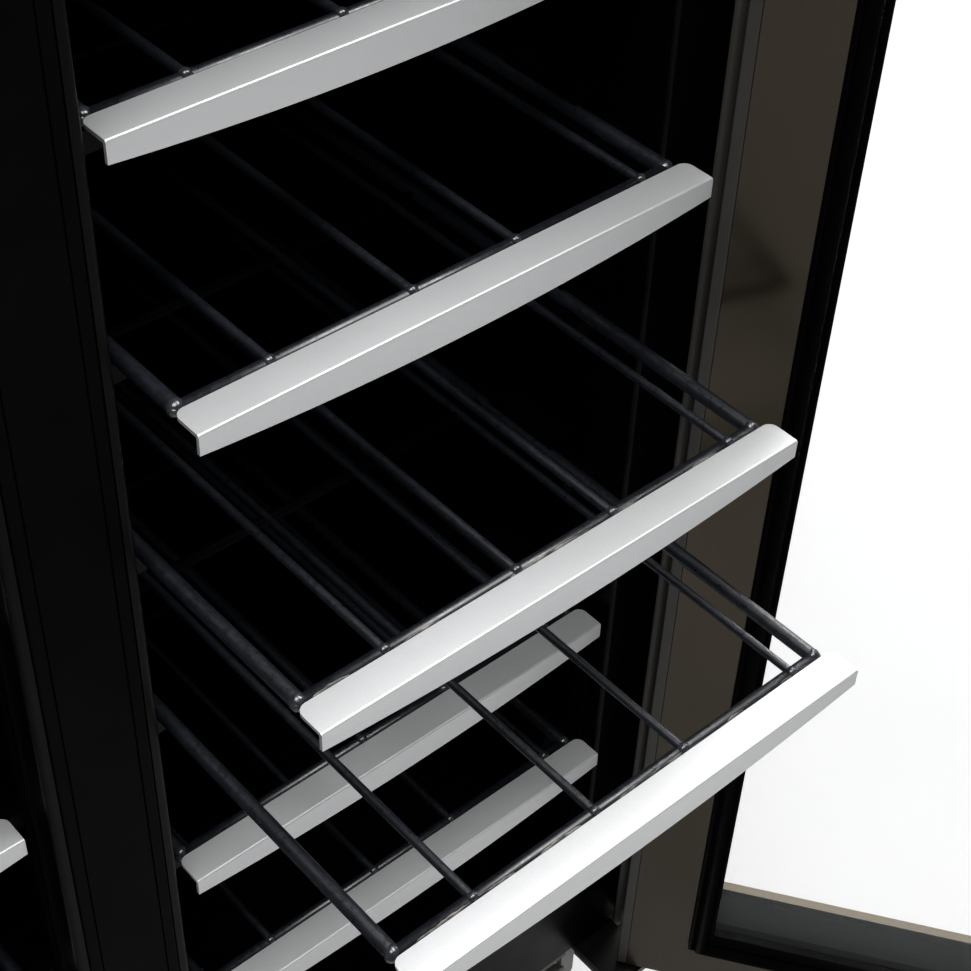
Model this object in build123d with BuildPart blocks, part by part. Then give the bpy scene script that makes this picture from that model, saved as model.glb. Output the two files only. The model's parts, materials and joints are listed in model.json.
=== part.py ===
"""Dual-zone wine cooler with two glass doors, eleven sliding racks and a central mullion.

Row frame: millimetres, +Z up from the floor, +X to the right seen from the front and +Y towards
the back. Each piece is one node. The doors are drawn at their open stop and four racks of the
right compartment are drawn part way out, because that is the rest pose.
"""

import os
from math import cos, radians, sin

from build123d import *

os.makedirs("parts", exist_ok=True)

# ---- driving dimensions ----------------------------------------------------------------------
CAB_W, CAB_D, CAB_H = 598.0, 525.0, 870.0  # outer cabinet
SHEET = 1.0  # steel sheet
WALL = 2.5  # plastic liner wall

MULLION_HALF = 24.0  # half the post between the compartments
COVER_HALF = 19.0  # half the flat cover on it
GROOVE_IN, GROOVE_W, GROOVE_DEEP = 4.7, 0.8, 0.8  # decorative groove along each side of the cover
CAVITY_RIGHT = 260.5  # far wall of a compartment, from the centre line
CAVITY_DEPTH = 475.0
CAVITY_FLOOR, CAVITY_TOP = 165.0, 822.0
HUMP_START, HUMP_TOP = 330.0, 258.0  # step in the liner over the compressor
MOUTH_R = 2.2  # rounding where the cavity meets the flange
FLANGE_LOW, FLANGE_HIGH = 100.0, 868.0
FLANGE_SIDE = 290.5
RIB_STARTS, RIB_T, RIB_PROUD = (11.0, 18.0), 2.0, 1.4  # upright ribs behind the mouth
LEDGE_W, LEDGE_H, LEDGE_START = 17.0, 8.0, 20.0
TAB_W, TAB_H, TAB_Y = 13.0, 5.0, (34.0, 74.0)  # stops a pulled-out rack from tipping
LEDGE_FIT, TAB_FIT = 0.3, 0.6  # free height under and over a rack's side wires

BEAD_R, BEAD_LOW = 4.0, 88.0  # rolled front edge of the side sheets, and its lower end
TOE_DEPTH = 48.0  # front of the base frame behind the toe grille
PAN_Z = 18.0  # underside of the base frame
FOOT_R, FOOT_H, STUD_R = 19.0, 8.0, 5.0
FOOT_X, FOOT_FRONT, FOOT_REAR = 250.0, 95.0, 60.0

DOOR_W, DOOR_T = 296.0, 36.0
DOOR_LOW, DOOR_HIGH = 99.0, 861.0
DOOR_STILE = 31.0  # steel seen on the inner face
DOOR_RIM = 43.0  # steel seen on the outer face, and the window's edge on both
DOOR_FREE_STILE = 8.0  # narrow steel beside the mullion
EDGE_STRIP, EDGE_STRIP_T = 5.5, 3.0  # black strip let into the inner face at the hinge edge
GASKET_W, GASKET_H = 12.0, 9.9
DOOR_GAP = 10.6  # closed door's inner face to the cabinet front
PIVOT_IN = 10.8  # hinge axis from the door's hinge edge
PIVOT_DEEP = 12.6  # hinge axis from the door's inner face
DOOR_OPEN = 125.0  # degrees at rest, against the stop
PIN_R, PIN_FIT, PIN_REACH = 4.0, 0.05, 18.0
PANE = 4.0

RACK_TOPS = {  # top faces of the trims
    "right": [705.0 - 86.0 * i for i in range(6)],
    "left": [740.0 - 100.0 * i for i in range(5)],
}
TRIM_L, TRIM_D, TRIM_T = 222.4, 14.2, 1.5
TRIM_END_H, TRIM_MID_H = 8.2, 13.8  # front plate at its ends and in the middle
TRIM_CORNER, TRIM_RIDGE = 4.0, 0.9  # roundings at the rear corners and along the front ridge
TRIM_INSET = 4.5  # trim front behind the cabinet front
TRIM_LEFT = 32.5  # trim's left end from the compartment's mullion line
RACK_DEPTH = 432.0
THICK_R, THIN_R, ROD_R = 3.0, 1.8, 2.5
THICK_DROP, THIN_DROP, ROD_DROP = 2.0, 0.8, 2.2  # wire centres below the trim's top face
THICK_X = (3.5, 215.5)  # side wires, from the trim's left end
THIN_X = (38.3, 96.4, 142.1, 201.8)  # cradle wires
ROD_Y = (TRIM_D + ROD_R + 0.1, 215.0, 423.0)
CARRIER_X, CARRIER_T = (13.0, 208.0), 5.0  # bar under the trim
PULLED_OUT = {  # at rest, from the top rack down
    "right": (0.0, 35.0, 92.0, 140.0, 4.0, 11.0),
    "left": (0.0, 0.0, 0.0, 0.0, 0.0),
}

FAN_Z, FAN_R = 560.0, 42.0
COVER_PROUD = 0.3  # mullion cover in front of the liners' flange
BUTTON_R, BUTTON_FIT, BUTTON_TRAVEL = 4.6, 0.4, 1.0

# ---- derived places --------------------------------------------------------------------------
OPEN_SIN, OPEN_COS = sin(radians(DOOR_OPEN)), cos(radians(DOOR_OPEN))
PIVOT_X = CAB_W / 2 - PIVOT_IN
DOOR_REACH = DOOR_GAP + PIVOT_DEEP + (DOOR_W - PIVOT_IN) * OPEN_SIN - PIVOT_DEEP * OPEN_COS
FRONT = (DOOR_REACH - CAB_D) / 2  # cabinet front plane, so that the whole is centred on Y = 0
BACK = FRONT + CAB_D
PIVOT_Y = FRONT - DOOR_GAP - PIVOT_DEEP
HALF_W = CAB_W / 2
CENTRE_X = (MULLION_HALF + CAVITY_RIGHT) / 2  # middle of a compartment
SIDES = {"right": 1, "left": -1}


def block(x, y, z, mode=Mode.ADD):
    """A block between pairs of coordinates, given in either order."""
    with Locations(((x[0] + x[1]) / 2, (y[0] + y[1]) / 2, (z[0] + z[1]) / 2)):
        Box(abs(x[1] - x[0]), abs(y[1] - y[0]), abs(z[1] - z[0]), mode=mode)


def rod(start, end, radius, mode=Mode.ADD):
    """A round bar from start to end, along X, Y or Z."""
    run = Vector(*end) - Vector(*start)
    middle = Vector(*start) + run * 0.5
    turn = {0: (0, 90, 0), 1: (90, 0, 0), 2: (0, 0, 0)}
    along = max(range(3), key=lambda axis: abs((run.X, run.Y, run.Z)[axis]))
    with Locations((middle.X, middle.Y, middle.Z)):
        Cylinder(radius, run.length, rotation=turn[along], mode=mode)


def write(piece, name):
    """Label a finished piece and write it."""
    piece.part.label = name
    export_step(piece.part, f"parts/{name}.step")


# ---- cabinet ---------------------------------------------------------------------------------
with BuildPart() as outer_shell:
    block((-HALF_W, HALF_W), (FRONT, BACK), (CAB_H - SHEET, CAB_H))
    for s in SIDES.values():
        block((s * HALF_W, s * (HALF_W - SHEET)), (FRONT + 1, BACK), (PAN_Z, CAB_H))
        bead_x = s * (HALF_W - BEAD_R)
        rod((bead_x, FRONT + 1, BEAD_LOW), (bead_x, FRONT + 1, CAB_H - SHEET), BEAD_R)
write(outer_shell, "outer_shell")

BAY_FRONT, BAY_TOP = HUMP_START + 22.0, HUMP_TOP - 24.0  # compressor bay behind the liners
PANEL_LOW, SWAGE = BAY_TOP + 2.0, 2.5
with BuildPart() as back_panel:
    block((-HALF_W + SHEET, HALF_W - SHEET), (BACK - SHEET, BACK), (PANEL_LOW, CAB_H - SHEET))
    for width, height, corner, mode in ((10, 10, 7, Mode.ADD), (8, 8, 6, Mode.SUBTRACT)):
        deep = SWAGE if mode == Mode.ADD else SWAGE - SHEET
        with BuildSketch(Plane.XZ.offset(-BACK)):
            with Locations((-140, 560), (140, 560)):
                RectangleRounded(190 + width, 510 + height, corner)
                RectangleRounded(190 - width, 510 - height, corner, mode=Mode.SUBTRACT)
        extrude(amount=deep, mode=mode)
write(back_panel, "back_panel")

BOARD_LOW, BOARD_HIGH = 764.0, 856.0
RAIL_LOW, RAIL_HIGH, RAIL_T, PAN_T = 96.0, 102.0, 3.0, 1.5
with BuildPart() as foam_insulation:
    block(
        (-HALF_W + SHEET, HALF_W - SHEET),
        (FRONT + BEAD_R + 1.2, BACK - SWAGE - 0.1),
        (RAIL_HIGH + 0.2, CAB_H - SHEET),
    )
    block(
        (-HALF_W, HALF_W),
        (FRONT + BAY_FRONT, BACK + 1),
        (RAIL_LOW, BAY_TOP),
        Mode.SUBTRACT,
    )
    for s in SIDES.values():
        near, far = s * (MULLION_HALF - WALL), s * (CAVITY_RIGHT + WALL)
        deep = FRONT + CAVITY_DEPTH + WALL
        block((near, far), (FRONT, deep), (HUMP_TOP - WALL, CAVITY_TOP + WALL), Mode.SUBTRACT)
        low = CAVITY_FLOOR - WALL
        block((near, far), (FRONT, FRONT + HUMP_START + WALL), (low, HUMP_TOP), Mode.SUBTRACT)
    block((-18, 18), (FRONT, FRONT + 14), (BOARD_LOW - 3, BOARD_HIGH + 3), Mode.SUBTRACT)
write(foam_insulation, "foam_insulation")


def liner(s):
    """One compartment's moulded liner: cavity, flange and ribs."""
    near, far = s * MULLION_HALF, s * CAVITY_RIGHT
    with BuildPart() as shell:
        block(
            (near - s * WALL, far + s * WALL),
            (FRONT + 0.5, FRONT + CAVITY_DEPTH + WALL),
            (HUMP_TOP - WALL, CAVITY_TOP + WALL),
        )
        block(
            (near - s * WALL, far + s * WALL),
            (FRONT + 0.5, FRONT + HUMP_START + WALL),
            (CAVITY_FLOOR - WALL, HUMP_TOP),
        )
        block(
            (s * (COVER_HALF + 0.5), s * FLANGE_SIDE),
            (FRONT, FRONT + WALL),
            (FLANGE_LOW, FLANGE_HIGH),
        )
        block((near, far), (FRONT - 1, FRONT + CAVITY_DEPTH), (HUMP_TOP, CAVITY_TOP), Mode.SUBTRACT)
        block((near, far), (FRONT - 1, FRONT + HUMP_START), (CAVITY_FLOOR, HUMP_TOP), Mode.SUBTRACT)
        mouth = [
            edge
            for edge in shell.edges().filter_by(
                lambda e: abs(e.center().Y - FRONT) < 0.01 and e.length < 700
            )
            if MULLION_HALF - 0.1 < abs(edge.center().X) < CAVITY_RIGHT + 0.1
            and CAVITY_FLOOR - 0.1 < edge.center().Z < CAVITY_TOP + 0.1
        ]
        fillet(mouth, MOUTH_R)
        for wall, inward in ((near, s), (far, -s)):
            for rib_start in RIB_STARTS:
                block(
                    (wall, wall + inward * RIB_PROUD),
                    (FRONT + rib_start, FRONT + rib_start + RIB_T),
                    (CAVITY_FLOOR, CAVITY_TOP),
                )
    return shell


def rack_ledges(s, tops):
    """Ledges the racks slide on and the tabs above them, screwed to both walls of a cavity."""
    with BuildPart() as ledges:
        for wall, inward in ((s * MULLION_HALF, s), (s * CAVITY_RIGHT, -s)):
            for top in tops:
                ledge_top = top - THICK_DROP - THICK_R - LEDGE_FIT
                block(
                    (wall, wall + inward * LEDGE_W),
                    (FRONT + LEDGE_START, FRONT + CAVITY_DEPTH),
                    (ledge_top - LEDGE_H, ledge_top),
                )
                tab_low = top - THICK_DROP + THICK_R + TAB_FIT
                block(
                    (wall, wall + inward * TAB_W),
                    (FRONT + TAB_Y[0], FRONT + TAB_Y[1]),
                    (tab_low, tab_low + TAB_H),
                )
    return ledges


for side, s in SIDES.items():
    write(liner(s), f"liner_{side}")
    write(rack_ledges(s, RACK_TOPS[side]), f"rack_ledges_{side}")

DISPLAY_LOW, DISPLAY_HIGH, DISPLAY_HALF = 833.0, 855.0, 13.0
BUTTON_Z = {"power": 816.0, "light": 802.0, "up": 788.0, "down": 774.0}
FACE = FRONT - COVER_PROUD
with BuildPart() as mullion_cover:
    block((-COVER_HALF, COVER_HALF), (FACE, FRONT + WALL), (FLANGE_LOW, FLANGE_HIGH))
    long_edges = mullion_cover.edges().filter_by(Axis.Z).group_by(Axis.Y)[0]
    fillet(long_edges, 0.7)
    for s in SIDES.values():
        groove_x = (s * (COVER_HALF - GROOVE_IN), s * (COVER_HALF - GROOVE_IN - GROOVE_W))
        groove_z = (FLANGE_LOW - 1, FLANGE_HIGH + 1)
        block(groove_x, (FACE - 1, FACE + GROOVE_DEEP), groove_z, Mode.SUBTRACT)
    block(
        (-DISPLAY_HALF - 0.1, DISPLAY_HALF + 0.1),
        (FACE - 1, FRONT + WALL + 1),
        (DISPLAY_LOW - 0.1, DISPLAY_HIGH + 0.1),
        Mode.SUBTRACT,
    )
    for z in BUTTON_Z.values():
        hole_r = BUTTON_R + BUTTON_FIT
        rod((0, FACE - 1, z), (0, FRONT + WALL + 1, z), hole_r, Mode.SUBTRACT)
write(mullion_cover, "mullion_cover")

with BuildPart() as display_lens:
    block((-DISPLAY_HALF, DISPLAY_HALF), (FACE, FRONT + WALL), (DISPLAY_LOW, DISPLAY_HIGH))
write(display_lens, "display_lens")

BUTTON_FRONT, BUTTON_BACK = FACE - 1.7, FRONT + WALL + 1.2
for name, z in BUTTON_Z.items():
    with BuildPart() as button:
        rod((0, BUTTON_FRONT, z), (0, BUTTON_BACK, z), BUTTON_R)
        fillet(button.edges().group_by(Axis.Y)[0], 0.6)
        rod((0, FRONT + WALL + 0.2, z), (0, BUTTON_BACK, z), BUTTON_R + BUTTON_FIT + 1.0)
    write(button, f"button_{name}")

with BuildPart() as control_board:
    board = FRONT + 8.0
    block((-17, 17), (board, board + 1.6), (BOARD_LOW, BOARD_HIGH))
    for z in BUTTON_Z.values():
        block((-3, 3), (BUTTON_BACK + BUTTON_TRAVEL + 0.3, board), (z - 3, z + 3))
    block((-12, 12), (FRONT + WALL + 1, board), (DISPLAY_LOW + 1, DISPLAY_HIGH - 1))
write(control_board, "control_board")

GRILLE_BACK, GRILLE_T = FRONT + 26.0, 4.0
POST_W, RAIL_BACK = 12.0, FRONT + 44.0
with BuildPart() as base_frame:
    inner = HALF_W - SHEET
    block((-inner, inner), (FRONT + TOE_DEPTH + 1, BACK), (PAN_Z, PAN_Z + PAN_T))
    block((-inner, inner), (FRONT + 5.2, RAIL_BACK), (RAIL_LOW, RAIL_LOW + RAIL_T))
    block((-inner, inner), (RAIL_BACK - RAIL_T, RAIL_BACK), (RAIL_LOW, RAIL_HIGH))
    for s in SIDES.values():
        post_x = (s * inner, s * (inner - POST_W))
        post_front = FRONT + TOE_DEPTH + 1
        block(post_x, (post_front, post_front + POST_W), (PAN_Z, RAIL_LOW))
        block(post_x, (GRILLE_BACK, post_front + POST_W), (RAIL_LOW - 8, RAIL_LOW))
        block((s * inner, s * (inner - 19)), (GRILLE_BACK, GRILLE_BACK + 2), (60, RAIL_LOW))
        block(post_x, (BACK - POST_W - 1, BACK), (PAN_Z, BAY_TOP - 1))
write(base_frame, "base_frame")

GRILLE_LOW, GRILLE_HIGH, GRILLE_EDGE = 26.0, 90.0, 4.0
LOUVRE_PITCH, LOUVRE_DEPTH, LOUVRE_TILT, LOUVRES = 14.0, 9.0, -35.0, 4
with BuildPart() as toe_grille:
    half, height = HALF_W - SHEET - POST_W - 0.5, GRILLE_HIGH - GRILLE_LOW
    with BuildSketch(Plane.XZ.offset(-GRILLE_BACK)):
        with Locations((0, (GRILLE_LOW + GRILLE_HIGH) / 2)):
            RectangleRounded(2 * half, height, 3)
            Rectangle(2 * half - 20, height - 2 * GRILLE_EDGE, mode=Mode.SUBTRACT)
    extrude(amount=GRILLE_T)
    top_louvre = GRILLE_HIGH - GRILLE_EDGE - LOUVRE_PITCH / 2
    middle = GRILLE_BACK - GRILLE_T / 2
    with Locations(*[(0, middle, top_louvre - LOUVRE_PITCH * i) for i in range(LOUVRES)]):
        Box(2 * half - 18, LOUVRE_DEPTH, 1.6, rotation=(LOUVRE_TILT, 0, 0))
    for x in (-half / 2, 0, half / 2):
        stay_y = (GRILLE_BACK - GRILLE_T + 1, GRILLE_BACK)
        block((x - 3, x + 3), stay_y, (GRILLE_LOW + 1, GRILLE_HIGH - 1))
write(toe_grille, "toe_grille")

with BuildPart() as levelling_feet:
    for x in (-FOOT_X, FOOT_X):
        for y in (FRONT + FOOT_FRONT, BACK - FOOT_REAR):
            rod((x, y, 0), (x, y, FOOT_H), FOOT_R)
            rod((x, y, FOOT_H), (x, y, PAN_Z), STUD_R)
write(levelling_feet, "levelling_feet")

# ---- hinges ----------------------------------------------------------------------------------
PLATE_LOW = {"bottom": 92.0, "top": 864.0}
PLATE_T = {"bottom": 4.0, "top": 3.0}
BEAD_INNER = HALF_W - 2 * BEAD_R
with BuildPart() as hinge_brackets:
    for s in SIDES.values():
        inboard, beside = s * (PIVOT_X - 26), s * (BEAD_INNER - 1)
        for name, low in PLATE_LOW.items():
            levels = (low, low + PLATE_T[name])
            rear = FRONT + 24 if name == "bottom" else FRONT
            block((inboard, beside), (PIVOT_Y - 9, rear), levels)
            block((beside, s * (PIVOT_X + 7)), (PIVOT_Y - 9, FRONT - BEAD_R), levels)
            rod(
                (s * PIVOT_X, PIVOT_Y, levels[0] - 1),
                (s * PIVOT_X, PIVOT_Y, levels[1] + 1),
                PIN_R,
                Mode.SUBTRACT,
            )
        block((inboard, s * (PIVOT_X - 5)), (FRONT - 3, FRONT), (838, PLATE_LOW["top"]))
    corners = hinge_brackets.edges().filter_by(Axis.Z).group_by(Axis.Y)[0]
    fillet(corners, 5)
write(hinge_brackets, "hinge_brackets")

with BuildPart() as hinge_pins:
    for s in SIDES.values():
        x, y = s * PIVOT_X, PIVOT_Y
        low = PLATE_LOW["bottom"]
        collar = low + PLATE_T["bottom"]
        rod((x, y, low), (x, y, DOOR_LOW + PIN_REACH), PIN_R)
        rod((x, y, collar), (x, y, collar + 2.5), 7)
        high = PLATE_LOW["top"] + PLATE_T["top"]
        rod((x, y, DOOR_HIGH - PIN_REACH), (x, y, high), PIN_R)
write(hinge_pins, "hinge_pins")


# ---- doors -----------------------------------------------------------------------------------
# A door's own plane: origin on the hinge axis, x towards the free edge, z up. out() turns a
# distance towards the room into the plane's y, which points the other way on the left door.
def door_plane(s):
    """The open door's plane."""
    return Plane(
        origin=(s * PIVOT_X, PIVOT_Y, 0),
        x_dir=(-s * OPEN_COS, -OPEN_SIN, 0),
        z_dir=(0, 0, 1),
    )


HINGE_EDGE, FREE_EDGE = -PIVOT_IN, DOOR_W - PIVOT_IN
INNER_FACE, OUTER_FACE = -PIVOT_DEEP, DOOR_T - PIVOT_DEEP  # towards the room is positive
LIP = 5.0  # steel in front of the panes
STRIP_X = (HINGE_EDGE, HINGE_EDGE + EDGE_STRIP)
STRIP_OUT = (INNER_FACE, INNER_FACE + EDGE_STRIP_T)
POCKET_X = (STRIP_X[1] + DOOR_STILE, FREE_EDGE - DOOR_FREE_STILE)
POCKET_Z = (DOOR_LOW + DOOR_STILE, DOOR_HIGH - DOOR_STILE)
WINDOW_X = (STRIP_X[1] + DOOR_RIM, FREE_EDGE - DOOR_RIM)
WINDOW_Z = (DOOR_LOW + DOOR_RIM, DOOR_HIGH - DOOR_RIM)
PANE_EDGE = 9.0  # glass held behind the rim
OUTER_PANE = (OUTER_FACE - LIP - PANE, OUTER_FACE - LIP)
INNER_PANE = (INNER_FACE + 5.0, INNER_FACE + 5.0 + PANE)


def shrink(pair, amount):
    """A pair of coordinates moved towards each other at both ends."""
    return (pair[0] + amount, pair[1] - amount)


def door_frame(s):
    """Folded steel frame with a pocket behind its lip, a window and the hinge pin holes."""
    with BuildPart(door_plane(s)) as frame:
        block((HINGE_EDGE, FREE_EDGE), (s * INNER_FACE, s * OUTER_FACE), (DOOR_LOW, DOOR_HIGH))
        upright = frame.edges().filter_by(Axis.Z)
        room = Vector(s * OPEN_SIN, -OPEN_COS, 0)
        fillet(sorted(upright, key=lambda edge: edge.center().dot(room))[-2:], 3.0)
        block(WINDOW_X, (s * (INNER_FACE - 1), s * (OUTER_FACE + 1)), WINDOW_Z, Mode.SUBTRACT)
        block(POCKET_X, (s * (INNER_FACE - 1), s * OUTER_PANE[1]), POCKET_Z, Mode.SUBTRACT)
        block(
            (STRIP_X[0] - 1, STRIP_X[1]),
            (s * (STRIP_OUT[0] - 1), s * STRIP_OUT[1]),
            (DOOR_LOW - 1, DOOR_HIGH + 1),
            Mode.SUBTRACT,
        )
        hole = PIN_REACH + 1
        for low, high in ((DOOR_LOW - 1, DOOR_LOW + hole), (DOOR_HIGH - hole, DOOR_HIGH + 1)):
            rod((0, 0, low), (0, 0, high), PIN_R + PIN_FIT, Mode.SUBTRACT)
    return frame


def door_edge(s):
    """Black strip along the hinge edge of the inner face."""
    with BuildPart(door_plane(s)) as strip:
        block(STRIP_X, (s * STRIP_OUT[0], s * STRIP_OUT[1]), (DOOR_LOW, DOOR_HIGH))
    return strip


def door_glass(s):
    """Inner and outer pane."""
    with BuildPart(door_plane(s)) as panes:
        for pane in (OUTER_PANE, INNER_PANE):
            block(
                shrink(WINDOW_X, -PANE_EDGE),
                (s * pane[0], s * pane[1]),
                shrink(WINDOW_Z, -PANE_EDGE),
            )
    return panes


def door_retainer(s):
    """The black plastic frame that holds both panes apart and carries the gasket."""
    with BuildPart(door_plane(s)) as retainer:
        block(
            shrink(POCKET_X, 0.2),
            (s * INNER_FACE, s * OUTER_PANE[0]),
            shrink(POCKET_Z, 0.2),
        )
        block(WINDOW_X, (s * (INNER_FACE - 1), s * (OUTER_FACE + 1)), WINDOW_Z, Mode.SUBTRACT)
        block(
            shrink(WINDOW_X, -PANE_EDGE - 0.1),
            (s * (INNER_PANE[0] - 0.05), s * (INNER_PANE[1] + 0.05)),
            shrink(WINDOW_Z, -PANE_EDGE - 0.1),
            Mode.SUBTRACT,
        )
    return retainer


def door_gasket(s):
    """Ribbed sealing strip round the inner face, close to the free edge beside the mullion."""
    with BuildPart(door_plane(s)) as gasket:
        outer_x, outer_z = shrink(POCKET_X, 0.5), shrink(POCKET_Z, 0.5)
        reach = INNER_FACE - GASKET_H
        steps = ((0.0, GASKET_W, 3.0), (1.2, GASKET_W - 1.2, 5.5), (0.4, GASKET_W - 0.4, 7.5),
                 (2.0, GASKET_W - 2.0, GASKET_H))
        low = INNER_FACE
        for edge_in, edge_out, height in steps:
            high = INNER_FACE - height
            block(shrink(outer_x, edge_in), (s * low, s * high), shrink(outer_z, edge_in))
            block(
                shrink(outer_x, edge_out),
                (s * low, s * high),
                shrink(outer_z, edge_out),
                Mode.SUBTRACT,
            )
            low = high
        groove_x, groove_z = shrink(outer_x, 5.0), shrink(outer_z, 5.0)
        block(groove_x, (s * reach, s * (reach + 2.0)), groove_z, Mode.SUBTRACT)
        block(shrink(outer_x, 7.0), (s * reach, s * (reach + 2.0)), shrink(outer_z, 7.0))
        block(
            shrink(outer_x, GASKET_W - 2.0),
            (s * reach, s * (reach + 2.0)),
            shrink(outer_z, GASKET_W - 2.0),
            Mode.SUBTRACT,
        )
    return gasket


# Upright bar handle on two posts, near the free edge.
HANDLE_X, HANDLE_OUT, HANDLE_R, POST_R = FREE_EDGE - 24.0, OUTER_FACE + 38.0, 8.0, 5.0
HANDLE_Z = (DOOR_LOW + 70.0, DOOR_HIGH - 70.0)
POST_Z = (DOOR_LOW + 140.0, DOOR_HIGH - 140.0)


def door_handle(s):
    """The bar and its posts."""
    with BuildPart(door_plane(s)) as handle:
        at = s * HANDLE_OUT
        rod((HANDLE_X, at, HANDLE_Z[0]), (HANDLE_X, at, HANDLE_Z[1]), HANDLE_R)
        fillet(handle.edges(), 1.5)
        for z in POST_Z:
            rod((HANDLE_X, s * OUTER_FACE, z), (HANDLE_X, at, z), POST_R)
    return handle


for side, s in SIDES.items():
    write(door_frame(s), f"door_frame_{side}")
    write(door_edge(s), f"door_edge_{side}")
    write(door_glass(s), f"door_glass_{side}")
    write(door_retainer(s), f"door_retainer_{side}")
    write(door_gasket(s), f"door_gasket_{side}")
    write(door_handle(s), f"door_handle_{side}")


# ---- racks -----------------------------------------------------------------------------------
def rack_frame(left, front, top):
    """Welded wire frame: two side wires, four cradle wires, three cross rods, a trim carrier."""
    wires = [(x, THICK_R, THICK_DROP) for x in THICK_X] + [(x, THIN_R, THIN_DROP) for x in THIN_X]
    with BuildPart() as frame:
        for x, radius, drop in wires:
            tip = (left + x, front + TRIM_D + radius + 0.3, top - drop)
            tail = (left + x, front + RACK_DEPTH - radius, top - drop)
            rod(tip, tail, radius)
            with Locations(tip, tail):
                Sphere(radius)
        for y in ROD_Y:
            ends = [(left + x, front + y, top - ROD_DROP) for x in THICK_X]
            rod(ends[0], ends[1], ROD_R)
        block(
            (left + CARRIER_X[0], left + CARRIER_X[1]),
            (front + TRIM_T + 0.6, front + ROD_Y[0]),
            (top - TRIM_T - 0.1 - CARRIER_T, top - TRIM_T - 0.1),
        )
    return frame


def rack_trim(left, front, top):
    """Folded trim: flat top plate and a front plate whose lower edge is an arc."""
    right, middle = left + TRIM_L, left + TRIM_L / 2
    with BuildPart() as trim:
        with BuildSketch(Plane.XY.offset(top - TRIM_T)):
            with Locations((middle, front + TRIM_D / 2)):
                Rectangle(TRIM_L, TRIM_D)
        extrude(amount=TRIM_T)
        back_corners = trim.edges().filter_by(Axis.Z).group_by(Axis.Y)[-1]
        fillet(back_corners, TRIM_CORNER)
        with BuildSketch(Plane.XZ.offset(-(front + TRIM_T))):
            with BuildLine():
                Polyline(
                    (left, top - TRIM_END_H),
                    (left, top),
                    (right, top),
                    (right, top - TRIM_END_H),
                )
                ThreePointArc(
                    (right, top - TRIM_END_H),
                    (middle, top - TRIM_MID_H),
                    (left, top - TRIM_END_H),
                )
            make_face()
        extrude(amount=TRIM_T)
        ridge = trim.edges().filter_by(Axis.X).group_by(Axis.Z)[-1].sort_by(Axis.Y)[0]
        fillet(ridge, TRIM_RIDGE)
    return trim


for side, s in SIDES.items():
    trim_left = TRIM_LEFT if s > 0 else -TRIM_LEFT - TRIM_L
    for i, (top, out) in enumerate(zip(RACK_TOPS[side], PULLED_OUT[side])):
        trim_front = FRONT + TRIM_INSET - out
        write(rack_frame(trim_left, trim_front, top), f"rack_frame_{side}_{i + 1}")
        write(rack_trim(trim_left, trim_front, top), f"rack_trim_{side}_{i + 1}")

# ---- air circuit and lights --------------------------------------------------------------------
COVER_DEPTH, COVER_W, COVER_Z, COVER_WALL = 30.0, 180.0, (300.0, 790.0), 3.0
SLOT_PITCH, SLOT_W = 9.0, 4.5
HUB_R, BLADES, BLADE_TILT, BORE_R = 15.0, 7, 25.0, 1.55
MOTOR_R, SHAFT_R = 18.0, 1.5
for side, s in SIDES.items():
    x = s * CENTRE_X
    back = FRONT + CAVITY_DEPTH
    face = back - COVER_DEPTH
    with BuildPart() as evaporator_cover:
        block((x - COVER_W / 2, x + COVER_W / 2), (face, back), COVER_Z)
        fillet(evaporator_cover.edges().filter_by(Axis.Z).group_by(Axis.Y)[0], 8)
        inner_x = (x - COVER_W / 2 + COVER_WALL, x + COVER_W / 2 - COVER_WALL)
        inner_z = (COVER_Z[0] + COVER_WALL, COVER_Z[1] - COVER_WALL)
        block(inner_x, (face + COVER_WALL, back + 1), inner_z, Mode.SUBTRACT)
        with BuildSketch(Plane.XZ.offset(-(face + COVER_WALL + 1))):
            with Locations((x, FAN_Z)):
                for row in range(-4, 5):
                    up = row * SLOT_PITCH
                    with Locations((0, up)):
                        SlotOverall(2 * (FAN_R**2 - up**2) ** 0.5, SLOT_W)
            for z in (COVER_Z[0] + 30, COVER_Z[1] - 30):
                with Locations((x, z)):
                    with GridLocations(12, 0, 11, 1):
                        SlotOverall(34, 5, rotation=90)
        extrude(amount=COVER_WALL + 2, mode=Mode.SUBTRACT)
    write(evaporator_cover, f"evaporator_cover_{side}")

    with BuildPart() as fan_rotor:
        hub_front, hub_back = face + 8, face + 17
        rod((x, hub_front, FAN_Z), (x, hub_back, FAN_Z), HUB_R)
        with Locations((x, (hub_front + hub_back) / 2, FAN_Z)):
            for blade in range(BLADES):
                with Locations(Location((0, 0, 0), (0, blade * 360 / BLADES, 0))):
                    with Locations((HUB_R + 11, 0, 0)):
                        Box(28, 1.4, 17, rotation=(BLADE_TILT, 0, 0))
        rod((x, hub_back - 6, FAN_Z), (x, hub_back + 1, FAN_Z), BORE_R, Mode.SUBTRACT)
    write(fan_rotor, f"fan_rotor_{side}")

with BuildPart() as fan_motors:
    for s in SIDES.values():
        x, back = s * CENTRE_X, FRONT + CAVITY_DEPTH
        rod((x, back - 11, FAN_Z), (x, back, FAN_Z), MOTOR_R)
        rod((x, back - 18, FAN_Z), (x, back - 11, FAN_Z), SHAFT_R)
write(fan_motors, "fan_motors")

STRIP_HALF, STRIP_Y, STRIP_T = 90.0, (30.0, 44.0), 6.0
with BuildPart() as led_strips:
    for s in SIDES.values():
        x = s * CENTRE_X
        strip_y = (FRONT + STRIP_Y[0], FRONT + STRIP_Y[1])
        block((x - STRIP_HALF, x + STRIP_HALF), strip_y, (CAVITY_TOP - STRIP_T, CAVITY_TOP))
    fillet(led_strips.edges().filter_by(Axis.X).group_by(Axis.Z)[0], 2)
write(led_strips, "led_strips")

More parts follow.
